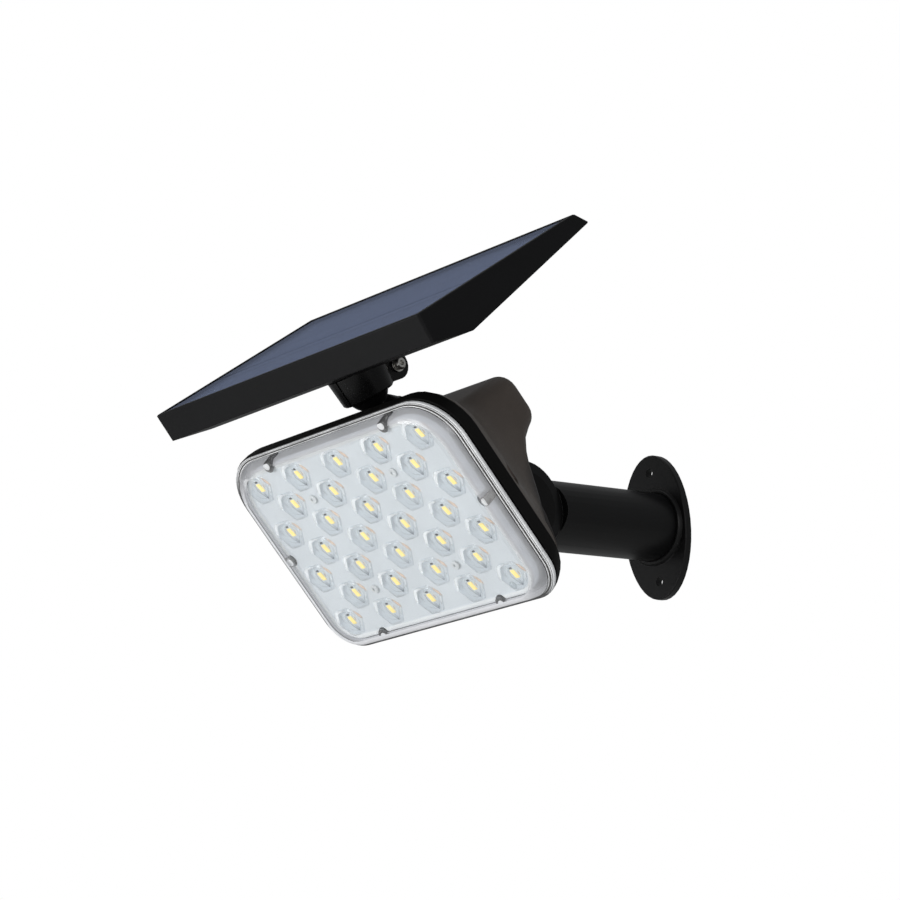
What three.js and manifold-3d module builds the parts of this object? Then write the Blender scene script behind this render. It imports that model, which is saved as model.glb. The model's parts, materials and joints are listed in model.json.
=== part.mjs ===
// Solar flood light on a wall arm: tilting lamp head, swivelling solar panel on a ball joint.
// World frame, millimetres: origin on the wall at the centre of the oval flange, +Y into the
// wall, +X along the head's hinge, +Z up. The lamp shines towards -Y.
import * as THREE from 'three';
import Module from 'manifold-3d';
import { mergeVertices } from 'three/addons/utils/BufferGeometryUtils.js';

const wasm = await Module();
wasm.setup();

// ---------------------------------------------------------------- driving dimensions
const HEAD_DOWN = 39.9; // degrees the lamp faces below level
const HEAD_AT = [0, -207.5, -17.4]; // centre of the LED field
const PANEL_PITCH = 31.1; // degrees the panel leans out from level
const PANEL_AT = [0, -271.7, 63.7]; // middle of the panel's front top edge

const FLANGE = { halfWide: 24.7, halfHigh: 42.1, thick: 4.5, holeAt: 31.8, holeR: 2.5 };
const TUBE_R = 19.7;
const TUBE_BORE = 16.2;
const KNUCKLE = { y: -117, r: 25.5, half: 15.5, bore: 3.15 };

const LED_PITCH = 33; // along a row
const LED_ROW = 14.98; // between rows
const HEX_R = 10.7;
const SCREW_SIDE = 79; // cover screws at the two ends
const SCREW_CORNER = [47.5, 57]; // and along the long edges
const BOARD_SCREW = [33, 30];

const FRAME = { halfWide: 91, halfHigh: 62.7, corner: 26.5, front: 4.6, back: 12.6 };
const LOW = { drop: 0.8, tighter: 7 }; // the head's lower edge: a little deeper, with tighter corners
const WALL = 3; // rear housing wall
const HINGE = [44.66, 80.6]; // head frame: down the head, behind the LEDs
const CHEEK = 16.8; // inner face of each hinge cheek

const BALL = { v: 46.8, n: -34, r: 12 }; // ball centre in the panel frame
const STEM_LEAN = 12; // degrees the ball stem leans back from the head's plane
const CUP = { top: -22.7, rim: -38.3, rTop: 16.9, rRim: 14.9, cavity: 13.2, split: 0.6 };
const EAR = { v: 67.3, n: -30.9, r: 8, half: 8.5 };

const PANEL = { halfLong: 110.2, deep: 133.9, back: 141.3 };
const PANEL_KEEL = [30.5, -22.4]; // deepest line of the tray

// ---------------------------------------------------------------- shape helpers
// Rounded rectangle from x0..x1, y0..y1 at height z, anticlockwise. The two corners at y1 have
// radius q.
function ring(x0, x1, y0, y1, r, z, arc = 6, q = r) {
  const out = [];
  const corners = [
    [x1 - r, y0 + r, -90, r],
    [x1 - q, y1 - q, 0, q],
    [x0 + q, y1 - q, 90, q],
    [x0 + r, y0 + r, 180, r],
  ];
  for (const [cx, cy, from, radius] of corners) {
    for (let k = 0; k <= arc; k += 1) {
      const a = THREE.MathUtils.degToRad(from + (90 * k) / arc);
      out.push([cx + radius * Math.cos(a), cy + radius * Math.sin(a), z]);
    }
  }
  return out;
}

// The head's outline at depth w, with its deeper, tighter lower edge.
const headRing = (hx, hy, r, w, arc = 7, tighter = LOW.tighter) => (
  ring(-hx, hx, -hy, hy + LOW.drop, r, w, arc, Math.max(r - tighter, 3))
);

function slab(hx, hy, r, z0, z1, arc = 6) {
  return skin([ring(-hx, hx, -hy, hy, r, z0, arc), ring(-hx, hx, -hy, hy, r, z1, arc)]);
}

// Closed body through a stack of equal-count rings, with fan caps at both ends.
function skin(rings) {
  const n = rings[0].length;
  const pos = rings.flat(2);
  const index = [];
  for (let k = 0; k + 1 < rings.length; k += 1) {
    for (let i = 0; i < n; i += 1) {
      const j = (i + 1) % n;
      const [a, b, c, d] = [k * n + i, k * n + j, (k + 1) * n + i, (k + 1) * n + j];
      index.push(a, b, d, a, d, c);
    }
  }
  const ends = [[rings[0], 0, true], [rings[rings.length - 1], (rings.length - 1) * n, false]];
  for (const [loop, base, flip] of ends) {
    const mid = [0, 1, 2].map((q) => loop.reduce((s, p) => s + p[q], 0) / n);
    const centre = pos.length / 3;
    pos.push(...mid);
    for (let i = 0; i < n; i += 1) {
      const [p, q] = [base + i, base + ((i + 1) % n)];
      index.push(centre, flip ? q : p, flip ? p : q);
    }
  }
  if (volume(pos, index) < 0) {
    for (let t = 0; t < index.length; t += 3) {
      [index[t + 1], index[t + 2]] = [index[t + 2], index[t + 1]];
    }
  }
  const g = new THREE.BufferGeometry();
  g.setAttribute('position', new THREE.Float32BufferAttribute(pos, 3));
  g.setIndex(index);
  return g;
}

function volume(pos, index) {
  const at = (i) => new THREE.Vector3(pos[3 * i], pos[3 * i + 1], pos[3 * i + 2]);
  let sum = 0;
  for (let t = 0; t < index.length; t += 3) {
    sum += at(index[t]).dot(at(index[t + 1]).cross(at(index[t + 2])));
  }
  return sum / 6;
}

// Solid of revolution about Z from [radius, z] steps.
function turned(profile, n = 24) {
  return skin(profile.map(([r, z]) => {
    const loop = [];
    for (let i = 0; i < n; i += 1) {
      const a = (2 * Math.PI * i) / n;
      loop.push([r * Math.cos(a), r * Math.sin(a), z]);
    }
    return loop;
  }));
}

const rod = (r, z0, z1, n = 24) => turned([[r, z0], [r, z1]], n);
const hex = (across, z0, z1) => rod(across / Math.sqrt(3), z0, z1, 6);
const alongX = (g) => g.rotateY(Math.PI / 2);
const alongY = (g) => g.rotateX(-Math.PI / 2);
const at = (g, x, y, z) => g.translate(x, y, z);

function box(x0, x1, y0, y1, z0, z1) {
  const g = new THREE.BoxGeometry(x1 - x0, y1 - y0, z1 - z0);
  return at(g, (x0 + x1) / 2, (y0 + y1) / 2, (z0 + z1) / 2);
}

// Plate with an outline in the y-z plane, from x0 to x1.
function profileX(points, x0, x1) {
  const shape = new THREE.Shape(points.map(([y, z]) => new THREE.Vector2(y, z)));
  const g = new THREE.ExtrudeGeometry(shape, { depth: x1 - x0, bevelEnabled: false });
  g.applyMatrix4(new THREE.Matrix4().makeBasis(
    new THREE.Vector3(0, 1, 0),
    new THREE.Vector3(0, 0, 1),
    new THREE.Vector3(1, 0, 0),
  ));
  return at(g, x0, 0, 0);
}

function sphereSteps(r, z0, z1, steps) {
  const out = [];
  for (let k = 0; k <= steps; k += 1) {
    const a0 = Math.asin(Math.max(-1, z0 / r));
    const a1 = Math.asin(Math.min(1, z1 / r));
    const a = a0 + ((a1 - a0) * k) / steps;
    out.push([Math.max(r * Math.cos(a), 0.35), r * Math.sin(a)]);
  }
  return out;
}

// ---------------------------------------------------------------- booleans
function toManifold(g) {
  let plain = g.clone();
  plain.deleteAttribute('normal');
  plain.deleteAttribute('uv');
  plain = mergeVertices(plain, 1e-4);
  return new wasm.Manifold(new wasm.Mesh({
    numProp: 3,
    vertProperties: new Float32Array(plain.attributes.position.array),
    triVerts: new Uint32Array(plain.index.array),
  }));
}

function toGeometry(m) {
  const mesh = m.getMesh();
  const g = new THREE.BufferGeometry();
  g.setAttribute('position', new THREE.Float32BufferAttribute(mesh.vertProperties, 3));
  g.setIndex(Array.from(mesh.triVerts));
  return g;
}

const combine = (first, rest, step) => toGeometry(
  rest.flat().reduce((m, g) => m[step](toManifold(g)), toManifold(first)),
);
const fuse = (first, ...rest) => combine(first, rest, 'add');
const cut = (first, ...rest) => combine(first, rest, 'subtract');
const common = (first, ...rest) => combine(first, rest, 'intersect');

// ---------------------------------------------------------------- frames
function frameOf(origin, degrees, sinY, cosZ) {
  const a = THREE.MathUtils.degToRad(degrees);
  const down = new THREE.Vector3(0, sinY(a), cosZ(a));
  const x = new THREE.Vector3(1, 0, 0);
  const z = new THREE.Vector3().crossVectors(x, down);
  return new THREE.Matrix4().makeBasis(x, down, z).setPosition(...origin);
}

// Head frame: x across, y down the head, z back from the LEDs.
const HEAD = frameOf(HEAD_AT, HEAD_DOWN, (a) => Math.sin(a), (a) => -Math.cos(a));
// Panel frame: x across, y from the front edge to the back, z out of the glass.
const TOP = frameOf(PANEL_AT, PANEL_PITCH, (a) => Math.cos(a), (a) => Math.sin(a));
const WORLD = new THREE.Matrix4();

const BALL_WORLD = new THREE.Vector3(0, BALL.v, BALL.n).applyMatrix4(TOP);
const BALL_HEAD = BALL_WORLD.clone().applyMatrix4(HEAD.clone().invert());
// Stem frame inside the head frame: z runs from the ball's centre down into the housing.
const lean = THREE.MathUtils.degToRad(STEM_LEAN);
const STEM = new THREE.Matrix4().makeBasis(
  new THREE.Vector3(1, 0, 0),
  new THREE.Vector3(0, Math.sin(lean), -Math.cos(lean)),
  new THREE.Vector3(0, Math.cos(lean), Math.sin(lean)),
).setPosition(BALL_HEAD);

const part = new THREE.Group();
part.name = 'solar_flood_light';

function piece(name, geometry, frame, color, roughness = 0.6, metalness = 0) {
  const g = geometry.clone().applyMatrix4(frame);
  g.computeVertexNormals();
  const mesh = new THREE.Mesh(g, new THREE.MeshStandardMaterial({ color, roughness, metalness }));
  mesh.name = name;
  part.add(mesh);
}

const BLACK = 0x161616;
const CHARCOAL = 0x3c3a37;
const STEEL = 0xb4b4b0;
const BRASS = 0xb08d4a;
const SILVER = 0xcdd3d8;

// ---------------------------------------------------------------- wall flange and arm
function oval(hx, hz, y0, y1, n = 44) {
  const loop = (sx, sz, y) => Array.from({ length: n }, (_, i) => {
    const a = (2 * Math.PI * i) / n;
    return [sx * Math.cos(a), y, sz * Math.sin(a)];
  });
  return skin([
    loop(hx - 0.5, hz - 0.5, y0),
    loop(hx, hz, y0 + 0.5),
    loop(hx, hz, y1),
  ]);
}

const armScrewX = 9.5;
let flange = oval(FLANGE.halfWide, FLANGE.halfHigh, -FLANGE.thick, 0);
flange = fuse(flange, alongY(turned([[21.4, -6.9], [21.9, -6.1], [22.6, -4]], 32)));
flange = cut(
  flange,
  alongY(rod(TUBE_R + 0.25, -7, -FLANGE.thick, 32)),
  [-1, 1].map((s) => at(alongY(rod(FLANGE.holeR, -9, 1, 20)), 0, 0, s * FLANGE.holeAt)),
  [-1, 1].map((s) => at(alongY(turned([[1.9, -9], [1.9, -2.4], [4, -0.3], [4, 1]], 20)), s * armScrewX, 0, 0)),
);
piece('wall_flange', flange, WORLD, BLACK);

let arm = alongY(rod(TUBE_R, KNUCKLE.y + 5.3, -FLANGE.thick - 0.3, 32));
arm = cut(arm, alongY(rod(TUBE_BORE, KNUCKLE.y + KNUCKLE.r + 6, 0, 24)));
arm = fuse(
  arm,
  [-1, 1].map((s) => at(alongY(rod(4.4, -22, -FLANGE.thick - 0.3, 16)), s * (armScrewX + 2.8), 0, 0)),
);
arm = cut(arm, [-1, 1].map((s) => (
  at(alongX(rod(KNUCKLE.r + 0.4, -5, 5, 44)), s * (KNUCKLE.half + 4.7), KNUCKLE.y, 0)
)));
arm = fuse(arm, at(alongX(turned([
  [KNUCKLE.r - 0.8, -KNUCKLE.half],
  [KNUCKLE.r, -KNUCKLE.half + 0.8],
  [KNUCKLE.r, KNUCKLE.half - 0.8],
  [KNUCKLE.r - 0.8, KNUCKLE.half],
], 40)), 0, KNUCKLE.y, 0));
arm = cut(
  arm,
  at(alongX(rod(KNUCKLE.bore, -30, 30)), 0, KNUCKLE.y, 0),
  [-1, 1].map((s) => at(alongY(rod(1.75, -18, 0, 16)), s * armScrewX, 0, 0)),
);
piece('arm_tube', arm, WORLD, BLACK, 0.45);

for (const [i, s] of [-1, 1].entries()) {
  const screw = alongY(turned([[1.5, -16], [1.5, -2.6], [3.7, -0.5], [3.7, -0.2]], 16));
  piece(`arm_screw_${i + 1}`, at(screw, s * armScrewX, 0, 0), WORLD, STEEL, 0.3, 1);
}

// ---------------------------------------------------------------- rear housing
// Sections behind the frame: depth, half width, top, bottom, corner radius.
const SHELL = [
  [12.9, 89.4, -61.9, 62, 27.5],
  [15, 88.3, -61.3, 61.2, 27],
  [19.5, 85, -58.2, 59.6, 26],
  [26, 78.8, -51.8, 58, 23.5],
  [34, 70, -43.9, 56.5, 21],
  [44, 60.2, -37.5, 53.5, 18],
  [52, 54.3, -34.7, 49, 16],
  [58, 51.5, -33.4, 43, 14.5],
  [63, 49.8, -32.6, 34.5, 13.5],
  [68, 48.5, -31.7, 25, 12.5],
  [74, 47.2, -30.6, 16.5, 11.5],
  [81, 45.9, -29.4, 9.8, 10.5],
  [89, 44.7, -28, 6.6, 9.5],
  [93.8, 43.8, -27.1, 5.4, 9],
  [95.9, 42.7, -25.9, 4.4, 8.6],
  [97.2, 40.3, -23.6, 2.2, 7],
];
const shellRing = ([w, x, top, bottom, r], d = 0, arc = 5) => {
  const tighter = Math.max(0, 1 - (w - 12) / 26);
  return ring(-x + d, x - d, top + d, bottom - d, Math.max(r - d, 2), w, arc, Math.max(r - d - tighter, 2));
};
const outer = skin(SHELL.map((s) => shellRing(s)));

// Keep the hollow clear of the pocket the knuckle turns in.
const hollow = SHELL.slice(0, 14).map(([w, x, top, bottom, r]) => {
  const reach = KNUCKLE.r + 4.4;
  const away = w - HINGE[1];
  const limit = Math.abs(away) < reach ? HINGE[0] - Math.sqrt(reach * reach - away * away) : 99;
  const low = w > 50 ? Math.min(bottom, limit + WALL) : bottom;
  return shellRing([w < 14 ? 11 : w, x, top, low, r], WALL, 3);
});

// Each hinge cheek is a wedge that carries the flare on to the knuckle: at each station down the
// head it runs from its back edge forward to the housing, widening as it goes.
function cheek(side) {
  const steps = [0, 0.02, 0.12, 0.3, 0.55, 0.8, 1];
  const outline = (v, back, front, inset = 0) => [
    [side * CHEEK, v, front],
    ...steps.map((t) => {
      const w = back - (back - front) * t;
      return [side * Math.min(CHEEK + 1.2 + 1.02 * (back - w) - inset, 49), v, w];
    }),
  ];
  return skin([
    outline(8, 92, 44),
    outline(17, 91.2, 44),
    outline(24, 89.6, 44),
    outline(34, 88, 44),
    outline(45, 87, 44),
    outline(54, 84.5, 45),
    outline(60, 82, 50),
    outline(64, 79.5, 57),
    outline(66, 76, 64, 0.8),
  ]);
}

// Screw places: x, v, seat depth, radius of the pocket behind the seat.
const screwSpots = [
  [SCREW_SIDE, 0, 16.4, 6.2],
  [-SCREW_SIDE, 0, 16.4, 6.2],
  ...[[1, -1], [-1, -1], [-1, 1], [1, 1]].map(([a, b]) => (
    [a * SCREW_CORNER[0], b * SCREW_CORNER[1], 14.2, 4.3]
  )),
];
const knuckleRoom = (r, x) => at(alongX(rod(r, -x, x, 36)), 0, HINGE[0], HINGE[1]);
const inStem = (g) => g.applyMatrix4(STEM);

const pad = inStem(rod(11.2, 17.4, 27, 28));
let housing = cut(outer, skin(hollow), inStem(rod(11.2, 4, 17.4, 28)));
housing = fuse(
  housing,
  [1, -1].map((side) => cheek(side)),
  cut(pad, box(-20, 20, -37.5, 20, 20, 70)),
  screwSpots.map(([x, v, w, r]) => common(outer, at(rod(r + 1.6, 11.1, w + 10, 16), x, v, 0))),
);
housing = cut(
  housing,
  knuckleRoom(KNUCKLE.r + 1.2, CHEEK),
  box(-CHEEK, CHEEK, HINGE[0] - 2, HINGE[0] + 40, HINGE[1] - 18, HINGE[1] + 30),
  screwSpots.map(([x, v, w, r]) => at(rod(r, w, w + 16, 18), x, v, 0)),
  [1, -1].map((side) => at(rod(5.6, 17.1, 36, 14), side * 84.6, 0, 0)),
  screwSpots.map(([x, v]) => at(rod(1.9, 8, 40, 10), x, v, 0)),
  inStem(rod(5.3, 10, 40, 24)),
  inStem(rod(10.6, 27, 40, 24)),
  at(alongX(rod(3.1, -40, 0)), 0, HINGE[0], HINGE[1]),
  at(alongX(rod(6.2, -60, -21.2)), 0, HINGE[0], HINGE[1]),
  at(alongX(rod(3.5, 10, 20.8)), 0, HINGE[0], HINGE[1]),
  at(rod(6.4, 88, 110, 28), -18, -12, 0),
);
piece('rear_housing', housing, HEAD, CHARCOAL, 0.5);

// ---------------------------------------------------------------- front frame, seal, cover
let frame = skin([
  headRing(FRAME.halfWide, FRAME.halfHigh, FRAME.corner, FRAME.front, 8, 4.5),
  headRing(FRAME.halfWide, FRAME.halfHigh, FRAME.corner, 8, 8, 2.8),
  headRing(90.6, 62.4, 28, FRAME.back, 8, 1),
]);
frame = cut(
  frame,
  slab(73, 49, 18, 0, 20),
  screwSpots.map(([x, v]) => at(rod(1.9, 0, 20, 10), x, v, 0)),
);
piece('front_frame', frame, HEAD, 0x1a1a18, 0.7);

let seal = skin([4.1, 4.4].map((w) => headRing(89.6, 61.8, 27, w)));
seal = cut(seal, skin([0, 9].map((w) => headRing(84, 57.4, 24, w))), screwSpots.map(([x, v]) => at(rod(4.4, 0, 9, 12), x, v, 0)));
piece('cover_seal', seal, HEAD, 0x55585a, 0.9);

const sq = (hx, hy, r, w) => headRing(hx, hy, r, w);
const coverOuter = skin([
  sq(78.3, 55.3, 21, -5.5),
  sq(80.2, 57, 22.4, -5.0),
  sq(82.2, 58.6, 23.8, -3.8),
  sq(84.6, 60, 25, -1.5),
  sq(87.2, 61.1, 26, 2.1),
  sq(90.3, 62.5, 27.6, 2.4),
  sq(90.3, 62.5, 27.6, 3.9),
]);
const coverInner = skin([
  sq(76.8, 53.8, 19.8, -3.6),
  sq(78.6, 55.4, 21, -3.0),
  sq(81.2, 57.2, 22.6, -1.2),
  sq(83.6, 58.3, 24, 1.4),
  sq(84.6, 59, 24.6, 5),
]);
let cover = fuse(
  cut(coverOuter, coverInner),
  screwSpots.map(([x, v]) => common(coverOuter, at(rod(3.4, -4.2, 3.9, 16), x, v, 0))),
);
cover = cut(cover, screwSpots.map(([x, v]) => at(rod(1.6, -2.6, 9, 10), x, v, 0)));
piece('clear_cover', cover, HEAD, 0xe8eef0, 0.1);

for (const [i, [x, v, w]] of screwSpots.entries()) {
  const screw = cut(
    turned([[1.35, -2.2], [1.35, w + 0.15], [3.4, w + 0.25], [3.4, w + 1.6], [2.4, w + 2.5]], 14),
    hex(2.4, w + 1.1, w + 4),
  );
  piece(`cover_screw_${i + 1}`, at(screw, x, v, 0), HEAD, STEEL, 0.3, 1);
}

// ---------------------------------------------------------------- optics and LED board
const leds = [];
for (let row = 0; row < 7; row += 1) {
  const count = row % 2 === 0 ? 5 : 4;
  for (let c = 0; c < count; c += 1) {
    leds.push([(c - (count - 1) / 2) * LED_PITCH, (row - 3) * LED_ROW]);
  }
}
const SENSOR = [61.2, 50.2];
const boardScrews = [[1, -1], [-1, -1], [-1, 1], [1, 1]].map(([a, b]) => (
  [a * BOARD_SCREW[0], b * BOARD_SCREW[1]]
));

const lens = () => turned([
  [HEX_R, -0.7],
  [HEX_R - 1.6, -2.5],
  [HEX_R - 5, -2.9],
], 6);
let plate = skin([
  headRing(77.8, 54.2, 20.6, -2.1, 5),
  headRing(79.0, 55.3, 21.8, -1.9, 5),
  headRing(79.7, 56, 22.5, -1.1, 5),
  headRing(79.7, 56, 22.5, 3.8, 5),
]);
plate = cut(
  plate,
  skin([-4, -1.4].map((w) => headRing(76.8, 53.2, 19.8, w, 5))),
  skin([-0.4, 5].map((w) => headRing(78.5, 54.8, 21.3, w, 5))),
);
plate = fuse(plate, leds.map(([x, v]) => common(at(lens(), x, v, 0), slab(78, 54.4, 19, -4, -0.5))));
plate = cut(
  plate,
  screwSpots.map(([x, v]) => at(rod(3.9, -9, 9, 14), x, v, 0)),
  boardScrews.map(([x, v]) => at(rod(1.5, -9, 9, 10), x, v, 0)),
  at(rod(3, -9, 9, 20), SENSOR[0], SENSOR[1], 0),
);
piece('lens_plate', plate, HEAD, SILVER, 0.25);

let board = slab(75.5, 53.8, 18, 0.7, 2.3, 4);
board = fuse(board, leds.map(([x, v]) => at(box(-1.7, 1.7, -2.5, 2.5, 0.1, 1), x, v, 0)));
board = cut(
  board,
  [SCREW_SIDE, -SCREW_SIDE].map((x) => at(rod(5, -9, 9, 16), x, 0, 0)),
  boardScrews.map(([x, v]) => at(rod(1.5, -9, 9, 10), x, v, 0)),
  screwSpots.slice(2).map(([x, v]) => at(rod(4.6, -9, 9, 16), x, v, 0)),
);
piece('led_board', board, HEAD, 0xf2f0e6, 0.6);

let tray = slab(74.6, 52.6, 17, 2.6, 4.3, 4);
tray = fuse(tray, boardScrews.map(([x, v]) => at(rod(3.4, 4, 10, 12), x, v, 0)));
tray = cut(tray, boardScrews.map(([x, v]) => at(rod(1.35, -9, 9, 10), x, v, 0)));
piece('heat_spreader', tray, HEAD, 0xa8aaac, 0.4, 1);

for (const [i, [x, v]] of boardScrews.entries()) {
  const screw = cut(
    turned([[2.4, -2.5], [2.7, -2.2], [2.7, -1.7], [1.15, -1.6], [1.15, 8]], 10),
    hex(1.8, -4, -1.9),
  );
  piece(`board_screw_${i + 1}`, at(screw, x, v, 0), HEAD, STEEL, 0.3, 1);
}

const sensor = turned([[2.6, 0.5], [2.6, -0.9], [2.2, -1.7], [1.3, -2.3], [0.4, -2.5]], 20);
piece('light_sensor', at(sensor, SENSOR[0], SENSOR[1], 0), HEAD, 0xdfe2e0, 0.2);

// ---------------------------------------------------------------- power pack and electronics
const CELLS = [[-11, 58], [-11, 77.5]];
let cradle = box(-35.5, 35.5, -23.5, 1.2, 48.5, 87.2);
cradle = cut(
  cradle,
  CELLS.map(([v, w]) => at(alongX(rod(9.4, -33.3, 33.3, 28)), 0, v, w)),
  box(-33.3, 33.3, -18.5, -3.5, 40, 77.5),
);
piece('battery_cradle', cradle, HEAD, 0x2a2a2c, 0.7);
for (const [i, [v, w]] of CELLS.entries()) {
  const cell = alongX(turned([[3, -32.6], [3, -31.6], [9.1, -31.4], [9.1, 32.4]], 28));
  piece(`battery_cell_${i + 1}`, at(cell, 0, v, w), HEAD, 0x2f6f9f, 0.5);
}

const control = fuse(
  box(-38, 38, -24, 24, 30, 31.6),
  at(rod(7, 31, 39, 20), -24, 10, 0),
  box(-8, 4, -14, -2, 31, 33.4),
  box(14, 30, 4, 18, 31, 38),
  at(rod(4, 31, 42, 16), 22, -14, 0),
);
piece('control_board', control, HEAD, 0x1f6b3a, 0.6);

const switchBoard = fuse(box(-26, -10, -19, -5, 87.8, 89), box(-21, -15, -15, -9, 88.9, 90));
piece('switch_board', switchBoard, HEAD, 0x1f6b3a, 0.6);
const boot = cut(
  turned([[6.1, 94.6], [6.1, 97.4], [8, 97.5], [8, 98.1], [7, 98.7]], 28),
  rod(4.5, 80, 110, 28),
);
piece('button_boot', at(boot, -18, -12, 0), HEAD, 0x202020, 0.9);
const button = turned([[4.2, 91.6], [4.2, 99.4], [3.6, 100]], 28);
piece('power_button', at(button, -18, -12, 0), HEAD, 0x8a1f1f, 0.5);

// ---------------------------------------------------------------- head hinge hardware
const hingeAt = (g) => at(g, 0, HINGE[0], HINGE[1]);
const hingeBolt = cut(
  alongX(turned([[3.6, -24.4], [5.4, -23.2], [5.4, -21.5], [2.6, -21.4], [2.6, 20]], 24)),
  alongX(hex(4, -30, -22.4)),
);
piece('hinge_bolt', hingeAt(hingeBolt), HEAD, STEEL, 0.3, 1);
const insert = cut(alongX(rod(3.4, 17.1, 20.6)), alongX(rod(2.7, 0, 40)));
piece('hinge_insert', hingeAt(insert), HEAD, BRASS, 0.4, 1);
for (const [name, s] of [['friction_disc_left', -1], ['friction_disc_right', 1]]) {
  const disc = cut(alongX(rod(19, s * 16.15 - 0.4, s * 16.15 + 0.4, 36)), alongX(rod(4, -30, 30)));
  piece(name, hingeAt(disc), HEAD, 0x4a4a48, 0.8);
}

// ---------------------------------------------------------------- ball stem
const ballSteps = sphereSteps(BALL.r, -BALL.r, 10.2, 12);
const stemBody = turned([
  ...ballSteps,
  [6.9, 11.2],
  [7.7, 12.4],
  [9.2, 14.8],
  [10.2, 16.5],
  [5, 16.6],
  [5, 33.5],
], 28);
const stem = cut(stemBody, rod(2.3, -20, 60, 16));
piece('ball_stem', inStem(stem), HEAD, BLACK, 0.4);
piece('stem_seal', inStem(cut(rod(9.8, 16.7, 17.2, 28), rod(5.5, 0, 40))), HEAD, 0x303030, 0.9);
piece('stem_nut', inStem(cut(hex(17, 27.4, 31.6), rod(5.15, 0, 60))), HEAD, STEEL, 0.3, 1);

// ---------------------------------------------------------------- ball cup under the panel
const cupAt = (g) => at(g, 0, BALL.v, 0);
const ballAt = (g) => at(g, 0, BALL.v, BALL.n);
const linerBody = cut(
  turned(sphereSteps(BALL.r + 0.95, -3.2, 8.6, 5), 28),
  turned(sphereSteps(BALL.r + 0.19, -BALL.r, BALL.r, 14), 28),
);
piece('ball_liner', ballAt(linerBody), TOP, 0x8d8d88, 0.6);

const cupBody = cupAt(turned([
  [CUP.rRim - 1, CUP.rim],
  [CUP.rRim, CUP.rim + 1],
  [CUP.rTop, CUP.top],
], 40));
const tab = profileX([
  ...Array.from({ length: 13 }, (_, i) => {
    const a = THREE.MathUtils.degToRad(-115 + (i * 205) / 12);
    return [EAR.v + EAR.r * Math.cos(a), EAR.n + EAR.r * Math.sin(a)];
  }),
  [BALL.v + 8, CUP.top],
  [BALL.v + 8, CUP.rim + 1.4],
], -EAR.half, EAR.half);
const cupWhole = cut(
  fuse(cupBody, tab),
  ballAt(turned(sphereSteps(CUP.cavity, -CUP.cavity, CUP.cavity, 16), 32)),
  at(rod(3, -30, -10, 16), 0, BALL.v, 0),
  at(alongX(rod(2.2, -30, 30, 20)), 0, EAR.v, EAR.n),
);
const cupScrews = [[1, 1], [1, -1], [-1, 1], [-1, -1]].map(([a, b]) => (
  [a * 12.2, BALL.v + b * 7.4]
));
for (const [name, s] of [['cup_left', -1], ['cup_right', 1]]) {
  const [x0, x1] = s > 0 ? [CUP.split, 40] : [-40, -CUP.split];
  const half = cut(
    common(cupWhole, box(x0, x1, 0, 100, -60, 0)),
    cupScrews.map(([x, v]) => at(rod(1.3, -28.4, -10, 12), x, v, 0)),
  );
  piece(name, half, TOP, 0x1b1b1c, 0.35);
}
for (const [i, [x, v]] of cupScrews.entries()) {
  const screw = cut(
    turned([[1.1, -27.8], [1.1, -17.6], [2.4, -17.5], [2.4, -16.2], [1.9, -15.8]], 10),
    hex(1.8, -16.9, -10),
  );
  piece(`cup_screw_${i + 1}`, at(screw, x, v, 0), TOP, STEEL, 0.3, 1);
}

const earAt = (g) => at(g, 0, EAR.v, EAR.n);
const pinchBolt = cut(
  alongX(turned([[2, -13.5], [2, 9.6], [3.4, 9.7], [3.4, 11.6], [2.6, 12.6]], 24)),
  alongX(hex(2.6, 10.8, 20)),
);
piece('pinch_bolt', earAt(pinchBolt), TOP, STEEL, 0.3, 1);
piece('pinch_washer', earAt(cut(alongX(rod(4.2, 8.65, 9.5)), alongX(rod(2.15, 0, 20)))), TOP, STEEL, 0.3, 1);
piece('pinch_nut', earAt(cut(alongX(hex(7, -12, -8.7)), alongX(rod(2.15, -20, 0)))), TOP, STEEL, 0.3, 1);

// ---------------------------------------------------------------- solar panel
const floorAt = (v) => PANEL_KEEL[1] + (v - PANEL_KEEL[0]) * 0.1321;
let panelTray = profileX([
  [-2, 0],
  [PANEL.deep - 0.6, 0],
  [PANEL.deep + 0.4, -0.6],
  [PANEL.back, -7.4],
  [PANEL.back - 0.4, -8.1],
  [PANEL_KEEL[0], PANEL_KEEL[1]],
  [1, -16.3],
  [-2, -15.7],
], -PANEL.halfLong - 1, PANEL.halfLong + 1);
panelTray = common(panelTray, skin([
  ring(-PANEL.halfLong + 0.5, PANEL.halfLong - 0.5, 0.5, 150, 2, 0, 4),
  ring(-PANEL.halfLong, PANEL.halfLong, 0, 150, 2, -0.5, 4),
  ring(-PANEL.halfLong + 1.2, PANEL.halfLong - 1.2, 1.6, 150, 2, -23.5, 4),
]));
panelTray = fuse(panelTray, at(rod(18, -22.4, -17, 40), 0, BALL.v, 0));
const bay = (x0, x1) => profileX([
  [8, 2],
  [125.5, 2],
  [125.5, floorAt(125.5) + 3.6],
  [PANEL_KEEL[0], floorAt(PANEL_KEEL[0]) + 3.4],
  [8, -14],
], x0, x1);
panelTray = cut(
  panelTray,
  box(-107.2, 107.2, 2.6, 131.3, -3.4, 2),
  [[-103, -37], [-34.5, 34.5], [37, 103]].map(([a, b]) => bay(a, b)),
  cupScrews.map(([x, v]) => at(turned([[1.4, -30], [1.4, -17.7], [2.9, -17.6], [2.9, -8]], 16), x, v, 0)),
  at(rod(3.9, -30, -10, 16), 0, BALL.v, 0),
);
piece('panel_tray', panelTray, TOP, BLACK, 0.6);

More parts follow.
